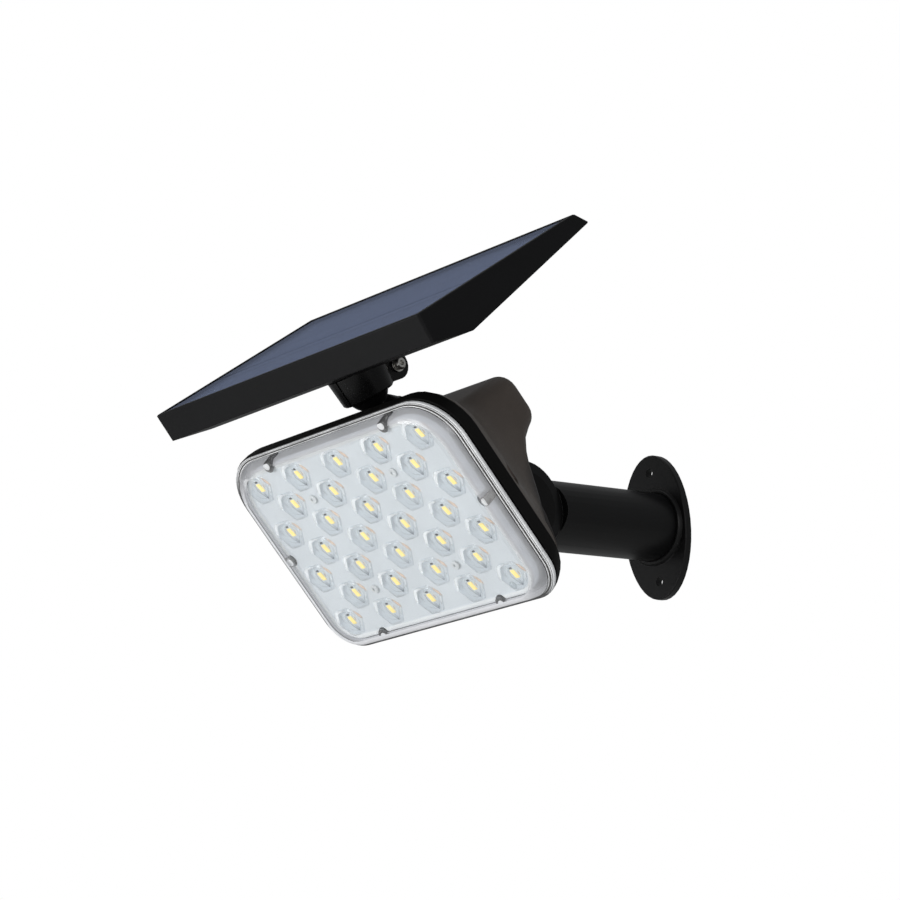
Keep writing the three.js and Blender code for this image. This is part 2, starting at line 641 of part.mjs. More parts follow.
piece('cell_sheet', box(-106.8, 106.8, 3, 130.9, -3.1, -2.3), TOP, 0x3e4660, 0.4);
piece('panel_glass', skin([
  ring(-106.8, 106.8, 3, 130.9, 0.6, -2, 2),
  ring(-106.8, 106.8, 3, 130.9, 0.6, -0.8, 2),
  ring(-106.4, 106.4, 3.4, 130.5, 0.6, -0.4, 2),
]), TOP, 0x9aa4b8, 0.1);
const junction = fuse(
  box(-14, 14, 56, 74, -11.8, -3.6),
  at(alongY(rod(3.2, 51, 57, 16)), 0, 0, -8),
);
piece('junction_box', junction, TOP, 0x222222, 0.6);

export default part;
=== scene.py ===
import json
import math

import bmesh
import bpy
from mathutils import Matrix, Vector

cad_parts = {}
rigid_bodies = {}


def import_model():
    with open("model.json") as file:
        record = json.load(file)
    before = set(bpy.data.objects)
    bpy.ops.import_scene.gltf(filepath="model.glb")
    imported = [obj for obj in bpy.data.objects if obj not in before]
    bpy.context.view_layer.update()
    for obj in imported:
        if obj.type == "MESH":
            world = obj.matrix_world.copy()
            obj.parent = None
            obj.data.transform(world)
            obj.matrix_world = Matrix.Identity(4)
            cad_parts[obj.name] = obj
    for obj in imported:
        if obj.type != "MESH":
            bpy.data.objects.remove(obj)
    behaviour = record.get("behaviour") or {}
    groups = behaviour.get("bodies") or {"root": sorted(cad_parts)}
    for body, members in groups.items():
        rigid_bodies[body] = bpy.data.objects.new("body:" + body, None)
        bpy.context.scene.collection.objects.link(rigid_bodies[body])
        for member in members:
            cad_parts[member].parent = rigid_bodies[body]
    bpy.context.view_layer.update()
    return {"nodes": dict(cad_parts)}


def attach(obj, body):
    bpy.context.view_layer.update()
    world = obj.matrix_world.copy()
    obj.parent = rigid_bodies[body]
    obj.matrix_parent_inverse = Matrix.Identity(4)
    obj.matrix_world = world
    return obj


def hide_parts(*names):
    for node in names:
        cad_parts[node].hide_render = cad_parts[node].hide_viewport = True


for old in list(bpy.data.objects):
    bpy.data.objects.remove(old, do_unlink=True)

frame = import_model()
nodes = frame["nodes"]
MM = 0.001


# ---------------------------------------------------------------- frames (mm in, metres out)
def placed(origin, down):
    x = Vector((1, 0, 0))
    d = Vector(down).normalized()
    z = x.cross(d)
    return Matrix.Translation(Vector(origin) * MM) @ Matrix((
        (x.x, d.x, z.x, 0), (x.y, d.y, z.y, 0), (x.z, d.z, z.z, 0), (0, 0, 0, 1),
    )) @ Matrix.Scale(MM, 4)


head_tilt = math.radians(39.9)
panel_pitch = math.radians(31.1)
HEAD = placed((0, -207.5, -17.4), (0, math.sin(head_tilt), -math.cos(head_tilt)))
TOP = placed((0, -271.7, 63.7), (0, math.cos(panel_pitch), math.sin(panel_pitch)))
LED_PITCH, LED_ROW = 33.0, 14.98
HINGE_OUT = 0.117  # metres from the wall to the hinge axis, which runs along X at the arm's height
PLASTIC_IOR = 1.46


# ---------------------------------------------------------------- materials
class Tree:
    def __init__(self, name):
        self.mat = bpy.data.materials.new(name)
        self.mat.use_nodes = True
        self.nodes = self.mat.node_tree.nodes
        self.links = self.mat.node_tree.links
        self.nodes.clear()
        self.out = self.add("ShaderNodeOutputMaterial")
        self.coord = self.add("ShaderNodeTexCoord")

    @classmethod
    def of(cls, mat):
        """The tree of a material that is already made, to add to it."""
        t = cls.__new__(cls)
        t.mat, t.nodes, t.links = mat, mat.node_tree.nodes, mat.node_tree.links
        t.coord = t.find("TEX_COORD")
        return t

    def find(self, kind):
        return next(n for n in self.nodes if n.type == kind)

    def add(self, kind, **sets):
        node = self.nodes.new(kind)
        for key, value in sets.items():
            setattr(node, key, value)
        return node

    def link(self, a, b):
        self.links.new(a, b)

    def noise(self, scale, detail=3.0, rough=0.55, stretch=None):
        n = self.add("ShaderNodeTexNoise")
        n.inputs["Scale"].default_value = scale
        n.inputs["Detail"].default_value = detail
        n.inputs["Roughness"].default_value = rough
        if stretch:
            m = self.add("ShaderNodeMapping")
            m.inputs["Scale"].default_value = stretch
            self.link(self.coord.outputs["Object"], m.inputs["Vector"])
            self.link(m.outputs["Vector"], n.inputs["Vector"])
        else:
            self.link(self.coord.outputs["Object"], n.inputs["Vector"])
        return n.outputs["Fac"]

    def ramp(self, fac, stops):
        r = self.add("ShaderNodeValToRGB")
        while len(r.color_ramp.elements) < len(stops):
            r.color_ramp.elements.new(0.5)
        for e, (pos, col) in zip(r.color_ramp.elements, stops):
            e.position = pos
            e.color = (*col, 1) if len(col) == 3 else col
        self.link(fac, r.inputs["Fac"])
        return r.outputs["Color"]

    def span(self, fac, low, high, a=0.3, b=0.7):
        m = self.add("ShaderNodeMapRange")
        m.inputs["From Min"].default_value = a
        m.inputs["From Max"].default_value = b
        m.inputs["To Min"].default_value = low
        m.inputs["To Max"].default_value = high
        self.link(fac, m.inputs["Value"])
        return m.outputs["Result"]

    def attribute(self, name):
        return self.add("ShaderNodeAttribute", attribute_name=name).outputs["Fac"]

    def scale_colour(self, factor):
        """Multiply the body's own colour by a factor."""
        body = self.find("BSDF_PRINCIPLED")
        scale = self.add("ShaderNodeVectorMath", operation="SCALE")
        self.link(body.inputs["Base Color"].links[0].from_socket, scale.inputs[0])
        self.link(factor, scale.inputs["Scale"])
        self.link(scale.outputs[0], body.inputs["Base Color"])

    def math(self, op, a, b=None, c=None):
        m = self.add("ShaderNodeMath", operation=op)
        for socket, value in zip(m.inputs, (a, b, c)):
            if value is None:
                continue
            if isinstance(value, (int, float)):
                socket.default_value = value
            else:
                self.link(value, socket)
        return m.outputs[0]

    def bump(self, height, strength, distance, base=None):
        b = self.add("ShaderNodeBump")
        b.inputs["Strength"].default_value = strength
        b.inputs["Distance"].default_value = distance
        self.link(height, b.inputs["Height"])
        if base is not None:
            self.link(base, b.inputs["Normal"])
        return b.outputs["Normal"]

    def edge(self, radius):
        b = self.add("ShaderNodeBevel", samples=6)
        b.inputs["Radius"].default_value = radius
        return b.outputs["Normal"]

    def finish(self, shader):
        self.link(shader, self.out.inputs["Surface"])
        return self.mat


def tone(col, k):
    return tuple(min(1.0, c * k) for c in col)


def moulded(name, col, rough=(0.38, 0.5), grain=900, grain_depth=0.00002, grain_strength=0.25,
            spec=0.5, patch=45, contrast=0.12, edge=0.0004, coat=0.0, metal=0.0, stretch=None):
    """Moulded or machined surface: tone drifts a little, with a fine surface grain."""
    t = Tree(name)
    p = t.add("ShaderNodeBsdfPrincipled")
    t.link(t.ramp(t.noise(patch, 4), [(0.25, tone(col, 1 - contrast)), (0.75, tone(col, 1 + contrast))]),
           p.inputs["Base Color"])
    fine = t.noise(grain, 2, 0.6, stretch)
    t.link(t.span(fine, rough[0], rough[1]), p.inputs["Roughness"])
    p.inputs["Specular IOR Level"].default_value = spec
    p.inputs["Metallic"].default_value = metal
    p.inputs["Coat Weight"].default_value = coat
    p.inputs["Coat Roughness"].default_value = 0.12
    base = t.edge(edge) if edge else None
    t.link(t.bump(fine, grain_strength, grain_depth, base), p.inputs["Normal"])
    return t.finish(p.outputs["BSDF"])


def clear(name, tint, haze, haze_col, rough=0.06, rim=1.0, shade=(1, 1, 1)):
    """Thin clear plastic: see-through face on, mirror-like at a low angle, with a little haze."""
    t = Tree(name)
    see = t.add("ShaderNodeBsdfTransparent")
    body = t.add("ShaderNodeBsdfPrincipled")
    gloss = t.add("ShaderNodeBsdfGlossy")
    see.inputs["Color"].default_value = (*tint, 1)
    body.inputs["Roughness"].default_value = 0.3
    cloud = t.noise(60, 3)
    t.link(t.ramp(cloud, [(0.3, tone(haze_col, 0.94)), (0.7, tone(haze_col, 1.05))]), body.inputs["Base Color"])
    gloss.inputs["Roughness"].default_value = rough
    gloss.inputs["Color"].default_value = (*shade, 1)
    soft = t.add("ShaderNodeMixShader")
    t.link(t.span(cloud, haze * 0.8, haze * 1.2), soft.inputs["Fac"])
    t.link(see.outputs[0], soft.inputs[1])
    t.link(body.outputs[0], soft.inputs[2])
    facing = t.add("ShaderNodeLayerWeight")
    facing.inputs["Blend"].default_value = 0.5
    f0 = ((PLASTIC_IOR - 1) / (PLASTIC_IOR + 1)) ** 2
    shine = t.math("MULTIPLY_ADD", t.math("POWER", facing.outputs["Facing"], 4.5), (1 - f0) * rim, f0 * rim)
    mix = t.add("ShaderNodeMixShader")
    t.link(shine, mix.inputs["Fac"])
    t.link(soft.outputs[0], mix.inputs[1])
    t.link(gloss.outputs[0], mix.inputs[2])
    return t.finish(mix.outputs[0])


def paint_glow(mat, colour, strength):
    """Painted glow: emission on a surface that gives no light of its own; strength is a number, or a socket to follow.
    """
    t = Tree.of(mat)
    body = t.find("BSDF_PRINCIPLED")
    body.inputs["Emission Color"].default_value = (*colour, 1)
    if isinstance(strength, (int, float)):
        body.inputs["Emission Strength"].default_value = strength
    else:
        t.link(strength, body.inputs["Emission Strength"])


arm_black = moulded("arm_black", (0.0042, 0.0042, 0.0044), rough=(0.30, 0.38), grain=1400,
                    grain_strength=0.08, spec=0.2)
charcoal = moulded("charcoal_shell", (0.064, 0.0520, 0.0440), rough=(0.40, 0.5), grain=1100,
                   grain_strength=0.16, spec=0.2, edge=0.0012)


def hinge_painted_shade():
    """Painted shade: the shell's colour turns black close about the hinge."""
    t = Tree.of(charcoal)
    flat = t.add("ShaderNodeVectorMath", operation="MULTIPLY_ADD")
    flat.inputs[1].default_value = (0, 1, 1)
    flat.inputs[2].default_value = (0, HINGE_OUT, 0)
    t.link(t.coord.outputs["Object"], flat.inputs[0])
    away = t.add("ShaderNodeVectorMath", operation="LENGTH")
    t.link(flat.outputs[0], away.inputs[0])
    t.scale_colour(t.span(away.outputs["Value"], 0.12, 1.0, 0.026, 0.036))


hinge_painted_shade()
trim_black = moulded("black_trim", (0.0032, 0.0031, 0.0029), rough=(0.5, 0.62), spec=0.09, edge=0.0006)
tray_black = moulded("tray_black", (0.0042, 0.0043, 0.0048), rough=(0.42, 0.55), grain=1500,
                     grain_strength=0.25, spec=0.13, edge=0.0007)
cup_black = moulded("cup_black", (0.0030, 0.0030, 0.0033), rough=(0.24, 0.3), grain=300,
                    grain_strength=0.02, spec=0.22, edge=0.0006)
ball_black = moulded("ball_black", (0.0034, 0.0034, 0.0037), rough=(0.26, 0.36), spec=0.18, edge=0.0004)
seal_grey = moulded("seal_grey", (0.06, 0.062, 0.064), rough=(0.6, 0.75), spec=0.3, edge=None)
boot_rubber = moulded("boot_rubber", (0.012, 0.012, 0.012), rough=(0.6, 0.8), spec=0.3)
inner_black = moulded("inner_black", (0.014, 0.014, 0.015), rough=(0.5, 0.65))
steel = moulded("stainless", (0.56, 0.55, 0.52), rough=(0.24, 0.4), grain=600, metal=1.0, contrast=0.08,
                edge=0.00015, stretch=(1, 1, 6))
aluminium = moulded("bare_aluminium", (0.62, 0.63, 0.64), rough=(0.3, 0.5), grain=500, metal=1.0,
                    edge=None, stretch=(1, 12, 12))
brass = moulded("brass", (0.60, 0.42, 0.16), rough=(0.25, 0.4), metal=1.0, edge=None)
white_board = moulded("white_board", (0.80, 0.82, 0.83), rough=(0.4, 0.5), edge=None, contrast=0.03)
wrap_blue = moulded("cell_wrap", (0.03, 0.13, 0.32), rough=(0.25, 0.35), edge=None)
mask_green = moulded("circuit_green", (0.012, 0.09, 0.035), rough=(0.3, 0.45), edge=None)
button_red = moulded("button_red", (0.30, 0.012, 0.012), rough=(0.45, 0.6))
fibre = moulded("friction_fibre", (0.006, 0.006, 0.006), rough=(0.7, 0.85), grain=2200, spec=0.12, edge=None)
liner_grey = moulded("liner_grey", (0.2, 0.2, 0.19), rough=(0.4, 0.55), edge=None)

node_material = {
    "wall_flange": arm_black, "arm_tube": arm_black, "rear_housing": charcoal, "front_frame": trim_black,
    "cover_seal": seal_grey, "led_board": white_board, "heat_spreader": aluminium,
    "battery_cradle": inner_black, "battery_cell_1": wrap_blue, "battery_cell_2": wrap_blue,
    "control_board": mask_green, "switch_board": mask_green, "button_boot": boot_rubber,
    "power_button": button_red, "hinge_insert": brass, "friction_disc_left": fibre,
    "friction_disc_right": fibre, "ball_stem": ball_black, "stem_seal": boot_rubber,
    "ball_liner": liner_grey, "cup_left": cup_black, "cup_right": cup_black,
    "panel_tray": tray_black, "junction_box": inner_black,
}
pale_screw = moulded("board_screw_pale", (0.66, 0.68, 0.69), rough=(0.35, 0.5), grain=600, spec=0.5,
                     contrast=0.1, edge=0.0002)
for name in nodes:
    if "screw" in name or name in ("hinge_bolt", "stem_nut", "pinch_bolt", "pinch_washer", "pinch_nut"):
        node_material[name] = pale_screw if name.startswith("board_screw") else steel

# ---------------------------------------------------------------- solar cells and their glass
STRING_PITCH, STRING_GAP = 42.0, 3.9  # the strings of cells, and where one gap between them lies
GLASS_MARGIN = 2.6


def on_panel(t):
    """Places on the panel's face in millimetres: across its length, and along its slope."""
    m = t.add("ShaderNodeMapping", vector_type="TEXTURE")
    m.inputs["Location"].default_value = TOP.to_translation()
    m.inputs["Rotation"].default_value = (panel_pitch, 0, 0)
    t.link(t.coord.outputs["Object"], m.inputs["Vector"])
    s = t.add("ShaderNodeSeparateXYZ")
    t.link(m.outputs["Vector"], s.inputs[0])
    return t.math("MULTIPLY", s.outputs["X"], 1000.0), t.math("MULTIPLY", s.outputs["Y"], 1000.0)


def cells():
    """Two strings of dark blue wafers with fine grid fingers and thicker ribbons along the panel."""
    t = Tree("cell_blue")
    p = t.add("ShaderNodeBsdfPrincipled")
    across, along = on_panel(t)

    def lines(value, pitch, offset, width):
        """1 on lines every pitch mm, this wide."""
        shifted = t.math("ADD", value, pitch * 50 + pitch / 2 - offset)
        wrapped = t.math("MODULO", shifted, pitch)
        away = t.math("ABSOLUTE", t.math("SUBTRACT", wrapped, pitch / 2))
        return t.math("LESS_THAN", away, width / 2)

    gap_x = lines(across, 17.6, 8.8, 0.7)
    gap_v = lines(along, STRING_PITCH, STRING_GAP, 1.3)
    ribbon = lines(along, 21.0, 14.4, 0.8)
    finger = lines(across, 1.1, 0, 0.16)
    wafer = t.noise(30, 3)
    col = t.ramp(wafer, [(0.3, (0.030, 0.040, 0.085)), (0.7, (0.040, 0.052, 0.105))])

    def over(base, mask, colour, amount=1.0):
        mix = t.add("ShaderNodeMix", data_type="RGBA")
        t.link(t.math("MULTIPLY", mask, amount), mix.inputs["Factor"])
        t.link(base, mix.inputs["A"])
        mix.inputs["B"].default_value = (*colour, 1)
        return mix.outputs["Result"]

    col = over(col, finger, (0.12, 0.14, 0.19), 0.45)
    col = over(col, ribbon, (0.20, 0.21, 0.24), 0.6)
    col = over(col, gap_x, (0.010, 0.012, 0.022), 0.8)
    col = over(col, gap_v, (0.008, 0.009, 0.016))
    t.link(col, p.inputs["Base Color"])
    t.link(t.span(wafer, 0.3, 0.4), p.inputs["Roughness"])
    return t.finish(p.outputs["BSDF"])


node_material["cell_sheet"] = cells()
node_material["panel_glass"] = clear("panel_glass", (0.90, 0.93, 0.98), 0.06, (0.10, 0.13, 0.22), rough=0.2, rim=0.62,
                                       shade=(0.50, 0.58, 0.80))


def glass_lines():
    """The gaps between the cell strings and the dark margin show in the glass at a low angle too."""
    t = Tree.of(node_material["panel_glass"])
    gloss = t.find("BSDF_GLOSSY")
    x, along = on_panel(t)
    across = t.math("ABSOLUTE", x)
    local = [TOP.inverted() @ v.co for v in nodes["panel_glass"].data.vertices]
    half_x, half_v = max(abs(p.x) for p in local), max(abs(p.y) for p in local)
    dark = t.math("GREATER_THAN", across, half_x - GLASS_MARGIN)
    dark = t.math("MAXIMUM", dark, t.math("GREATER_THAN", t.math("ABSOLUTE", along), half_v - GLASS_MARGIN))
    for v in (STRING_GAP - STRING_PITCH, STRING_GAP, STRING_GAP + STRING_PITCH):
        line = t.math("LESS_THAN", t.math("ABSOLUTE", t.math("SUBTRACT", along, v)), 0.9)
        dark = t.math("MAXIMUM", dark, line)
    mix = t.add("ShaderNodeMix", data_type="RGBA")
    t.link(dark, mix.inputs["Factor"])
    mix.inputs["A"].default_value = gloss.inputs["Color"].default_value
    mix.inputs["B"].default_value = (0.16, 0.18, 0.24, 1)
    t.link(mix.outputs["Result"], gloss.inputs["Color"])


glass_lines()
node_material["light_sensor"] = clear("sensor_dome", (0.9, 0.92, 0.93), 0.25, (0.75, 0.77, 0.78), rough=0.05)


# ---------------------------------------------------------------- smooth faces without moving a vertex
def smoother(limit):
    g = bpy.data.node_groups.new("smooth_%d" % limit, "GeometryNodeTree")
    g.interface.new_socket("Geometry", in_out="INPUT", socket_type="NodeSocketGeometry")
    g.interface.new_socket("Geometry", in_out="OUTPUT", socket_type="NodeSocketGeometry")
    a, b = g.nodes.new("NodeGroupInput"), g.nodes.new("NodeGroupOutput")
    weld = g.nodes.new("GeometryNodeMergeByDistance")
    weld.inputs["Distance"].default_value = 0.000012
    angle = g.nodes.new("GeometryNodeInputMeshEdgeAngle")
    sharp = g.nodes.new("FunctionNodeCompare")
    sharp.data_type, sharp.operation = "FLOAT", "GREATER_THAN"
    sharp.inputs[1].default_value = math.radians(limit)
    setter = g.nodes.new("GeometryNodeSetMeshNormal")
    setter.mode = "SHARPNESS"
    setter.inputs["Remove Custom"].default_value = True
    g.links.new(a.outputs[0], weld.inputs["Geometry"])
    g.links.new(weld.outputs["Geometry"], setter.inputs["Mesh"])
    g.links.new(angle.outputs["Unsigned Angle"], sharp.inputs[0])
    g.links.new(sharp.outputs[0], setter.inputs["Edge Sharpness"])
    g.links.new(setter.outputs["Mesh"], b.inputs[0])
    return g


smooth = {k: smoother(k) for k in (22, 34)}
for name, obj in nodes.items():
    mod = obj.modifiers.new("smooth_faces", "NODES")
    mod.node_group = smooth[22 if name in ("panel_tray", "panel_glass", "lens_plate") else 34]
    if name in node_material:
        obj.data.materials.clear()
        obj.data.materials.append(node_material[name])


# ---------------------------------------------------------------- mesh helpers
ARC = 12  # steps in each rounded corner of the head


def mesh_object(name, bm, mats, smooth_angle=34):
    """A piece of the head, from points in the head's own frame in millimetres."""
    bmesh.ops.recalc_face_normals(bm, faces=bm.faces)
    bm.transform(HEAD)
    data = bpy.data.meshes.new(name)
    bm.to_mesh(data)
    bm.free()
    for m in mats:
        data.materials.append(m)
    data.shade_smooth()
    data.set_sharp_from_angle(angle=math.radians(smooth_angle))
    obj = bpy.data.objects.new(name, data)
    bpy.context.scene.collection.objects.link(obj)
    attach(obj, "head")
    return obj


def rounded(hx, hy, r, z, arc):
    pts = []
    for cx, cy, start in ((hx - r, -hy + r, -90), (hx - r, hy - r, 0), (-hx + r, hy - r, 90), (-hx + r, -hy + r, 180)):
        for k in range(arc + 1):
            a = math.radians(start + 90 * k / arc)
            pts.append((cx + r * math.cos(a), cy + r * math.sin(a), z))
    return pts


def head_loop(hx, hy, r, z):
    """The head's outline: lower edge 0.8 deeper, lower corners tighter."""
    q = max(r - 7, 3)
    pts = []
    for cx, cy, start, a_r in ((hx - r, -hy + r, -90, r), (hx - q, hy + 0.8 - q, 0, q),
                               (-hx + q, hy + 0.8 - q, 90, q), (-hx + r, -hy + r, 180, r)):
        for k in range(ARC + 1):
            a = math.radians(start + 90 * k / ARC)
            pts.append((cx + a_r * math.cos(a), cy + a_r * math.sin(a), z))
    return pts


def loft(bm, loops, close_first=False, close_last=False):
    rows = [[bm.verts.new(p) for p in loop] for loop in loops]
    n = len(rows[0])
    for a, b in zip(rows, rows[1:]):
        for i in range(n):
            j = (i + 1) % n
            bm.faces.new((a[i], a[j], b[j], b[i]))
    if close_first:
        bm.faces.new(rows[0][::-1])
    if close_last:
        bm.faces.new(rows[-1])
    return rows


def circle(cx, cy, r, z, n=24):
    turns = [2 * math.pi * i / n for i in range(n)]
    return [(cx + r * math.cos(a), cy + r * math.sin(a), z) for a in turns]


leds = []
for row in range(7):
    count = 5 if row % 2 == 0 else 4
    for c in range(count):
        leds.append(((c - (count - 1) / 2) * LED_PITCH, (row - 3) * LED_ROW))
posts = [(79, 0), (-79, 0), (47.5, -57), (-47.5, -57), (-47.5, 57), (47.5, 57)]


# ---------------------------------------------------------------- silver lens field with its side wall
silver = moulded("lens_silver", (0.68, 0.715, 0.745), rough=(0.30, 0.42), grain=300, grain_strength=0.12,
                 patch=38, contrast=0.045, edge=None, coat=0.3)
# Painted highlight: the rounded lip of the lens field is a lighter copy of the silver.
silver_lip_highlight = moulded("lens_lip_painted_highlight", (0.76, 0.77, 0.775), rough=(0.35, 0.45), grain=300, grain_strength=0.1,
                     patch=38, contrast=0.03, edge=None)
silver_wall = moulded("lens_wall", (0.60, 0.645, 0.70), rough=(0.28, 0.38), grain=300, grain_strength=0.1,
                      patch=60, contrast=0.10, edge=None, spec=0.3)

paint_glow(silver_wall, (0.66, 0.72, 0.80), 0.34)  # painted glow: emission lightens the side wall, which gives no light of its own


def boolean(obj, cutter_bm, operation):
    bmesh.ops.recalc_face_normals(cutter_bm, faces=cutter_bm.faces)
    cutter_bm.transform(HEAD)
    cutter_mesh = bpy.data.meshes.new("cutter")
    cutter_bm.to_mesh(cutter_mesh)
    cutter_bm.free()
    cutter = bpy.data.objects.new("cutter", cutter_mesh)
    bpy.context.scene.collection.objects.link(cutter)
    mod = obj.modifiers.new("boolean", "BOOLEAN")
    mod.object, mod.operation, mod.solver = cutter, operation, "EXACT"
    bpy.context.view_layer.update()
    made = bpy.data.meshes.new_from_object(obj.evaluated_get(bpy.context.evaluated_depsgraph_get()))
    obj.modifiers.clear()
    obj.data = made
    made.set_sharp_from_angle(angle=math.radians(34))
    bpy.data.objects.remove(cutter)


def lens_field():
    bm = bmesh.new()
    steps = [  # half width, half height, corner, depth, material of the faces that end here
        (78.5, 54.8, 21.3, 3.8, 0), (79.7, 56.0, 22.5, 3.8, 2), (79.7, 56.0, 22.5, -1.1, 2),
        (79.45, 55.75, 22.3, -1.6, 1), (79.0, 55.3, 21.9, -1.98, 1), (78.3, 54.6, 21.3, -2.08, 1),
        (77.6, 53.9, 20.7, -2.0, 1), (76.9, 53.2, 20.1, -1.7, 1),
        (76.2, 52.5, 19.5, -1.5, 0), (75.2, 51.5, 18.8, -1.4, 0), (60.0, 36.4, 10.0, -1.4, 0),
    ]
    rows = loft(bm, [head_loop(hx, hy, r, w) for hx, hy, r, w, _ in steps], close_last=True)
    n = len(rows[0])
    bm.faces.ensure_lookup_table()
    for i, f in enumerate(bm.faces):
        f.material_index = steps[min(i // n + 1, len(steps) - 1)][4]
    inner = [bm.verts.new(p) for p in head_loop(77.4, 53.7, 20.4, -0.4)]
    first = rows[0]
    for i in range(n):
        j = (i + 1) % n
        bm.faces.new((inner[i], inner[j], first[j], first[i]))
    bm.faces.new(inner[::-1])
    obj = mesh_object("lens_field", bm, [silver, silver_lip_highlight, silver_wall])
    holes = bmesh.new()
    for x, v in posts:
        loft(holes, [circle(x, v, 3.9, -6), circle(x, v, 3.9, 6)], True, True)
    boolean(obj, holes, "DIFFERENCE")
    return obj


field = lens_field()
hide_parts("lens_plate")

# ---------------------------------------------------------------- LED packages
# Each LED is seen through its lens, which lifts it a little to one side.
LIFT_X, LIFT_V = 1.6, -0.8
phosphor = moulded("led_phosphor", (1.0, 0.76, 0.24), rough=(0.4, 0.5), grain=900, patch=300, contrast=0.04, edge=None)
# Painted glow: the phosphor gives light though the LEDs are switched off.
paint_glow(phosphor, (1.0, 0.74, 0.22), 0.42)
package = moulded("led_package", (0.80, 0.81, 0.80), rough=(0.35, 0.45), edge=None, contrast=0.03)
mark = moulded("led_mark", (0.02, 0.02, 0.024), rough=(0.5, 0.6), edge=None)


def pad(bm, x, v, hx, hv, w0, w1, r, slot, lean=0.22):
    before = len(bm.faces)
    loft(bm, [
        [(x + px + lean * pv, v + pv, z) for px, pv, z in rounded(hx, hv, r, w0, 3)],
        [(x + px + lean * pv, v + pv, z) for px, pv, z in rounded(hx, hv, r, w1 + 0.12, 3)],
        [(x + px + lean * pv, v + pv, z) for px, pv, z in rounded(hx - 0.12, hv - 0.12, r * 0.8, w1, 3)],
    ], True, True)
    bm.faces.ensure_lookup_table()
    for f in bm.faces[before:]:
        f.material_index = slot


def led_chips():
    bm = bmesh.new()
    for x, v in leds:
        x, v = x + LIFT_X, v + LIFT_V
        pad(bm, x, v, 1.75, 2.85, -1.36, -1.6, 0.3, 1)
        pad(bm, x, v, 1.5, 2.55, -1.58, -1.9, 0.35, 0)
        pad(bm, x - 0.9, v - 3.65, 0.85, 0.5, -1.36, -1.8, 0.2, 2)
    before = len(bm.faces)
    dot = [circle(0, 0, 0.55, x, 12) for x in (79.6, 79.76)]  # on the side wall
    loft(bm, [[(x, v + 9.0, w + 2.0) for w, v, x in ring] for ring in dot], True, True)
    bm.faces.ensure_lookup_table()
    for f in bm.faces[before:]:
        f.material_index = 2
    return mesh_object("led_chips", bm, [phosphor, package, mark])


led_chips()

# ---------------------------------------------------------------- hexagonal lens cells
# The lens sides' white haze is partly a painted highlight; the edge bands' darker tint is painted shade.
lens_top = clear("lens_top", (0.955, 0.968, 0.978), 0.03, (0.70, 0.76, 0.82), rough=0.05, rim=0.8)
lens_side_haze_highlight = clear("lens_side_haze_highlight", (0.965, 0.975, 0.985), 0.16, (0.86, 0.89, 0.92), rough=0.12, rim=0.9)
lens_edge_painted_shade = clear("lens_edge_painted_shade", (0.86, 0.88, 0.90), 0.10, (0.60, 0.64, 0.68), rough=0.1)
LENS_STEPS = [  # radius, depth, material of the faces that end here
    (9.7, -1.45, 1), (9.45, -1.62, 2), (8.45, -2.7, 1), (8.1, -2.86, 2), (6.4, -3.04, 0), (3.2, -3.2, 0),
]


def lens_cells():
    bm = bmesh.new()
    for x, v in leds:
        loops = []
        for r, w, _ in LENS_STEPS:
            pts = []
            for k in range(6):  # each flat carries a slightly rounded corner
                a0 = k * math.pi / 3
                a1 = a0 + math.pi / 3
                for t in (0.06, 0.5, 0.94):
                    pts.append((x + r * ((1 - t) * math.cos(a0) + t * math.cos(a1)),
                                v + r * ((1 - t) * math.sin(a0) + t * math.sin(a1)), w))
            loops.append(pts)
        start = len(bm.faces)
        loft(bm, loops, False, True)
        bm.faces.ensure_lookup_table()
        n = 18
        for i, f in enumerate(list(bm.faces)[start:]):
            f.material_index = LENS_STEPS[min(i // n + 1, len(LENS_STEPS) - 1)][2]
    return mesh_object("lens_cells", bm, [lens_top, lens_side_haze_highlight, lens_edge_painted_shade], smooth_angle=24)


lens_cells()


def painted_patch(name, low, high, strength, rough=0.35):
    """A patch of painted light or painted shade that fades out with the vertex attribute it carries."""
    t = Tree(name)
    see = t.add("ShaderNodeBsdfTransparent")
    p = t.add("ShaderNodeBsdfPrincipled")
    t.link(t.ramp(t.noise(260, 2), [(0.3, low), (0.7, high)]), p.inputs["Base Color"])
    p.inputs["Roughness"].default_value = rough
    fade = t.add("ShaderNodeAttribute", attribute_name="fade")
    mix = t.add("ShaderNodeMixShader")
    t.link(t.math("MULTIPLY", fade.outputs["Fac"], strength), mix.inputs["Fac"])
    t.link(see.outputs[0], mix.inputs[1])
    t.link(p.outputs[0], mix.inputs[2])
    return t.finish(mix.outputs[0])


def ribbon(bm, layer, pts, slot):
    """Strip along (x, v, w, half width, level) points, full in the middle and clear at its edges."""
    rows = []
    for i, (x, v, w, half, level) in enumerate(pts):
        a, b = pts[max(i - 1, 0)], pts[min(i + 1, len(pts) - 1)]
        dx, dv = b[0] - a[0], b[1] - a[1]
        size = math.hypot(dx, dv) or 1
        nx, nv = -dv / size, dx / size
        row = []
        for side, share in ((-1, 0.0), (-0.45, 1.0), (0.45, 1.0), (1, 0.0)):
            vert = bm.verts.new((x + nx * half * side, v + nv * half * side, w))
            vert[layer] = level * share
            row.append(vert)
        rows.append(row)
    for a, b in zip(rows, rows[1:]):
        for i in range(3):
            bm.faces.new((a[i], a[i + 1], b[i + 1], b[i])).material_index = slot
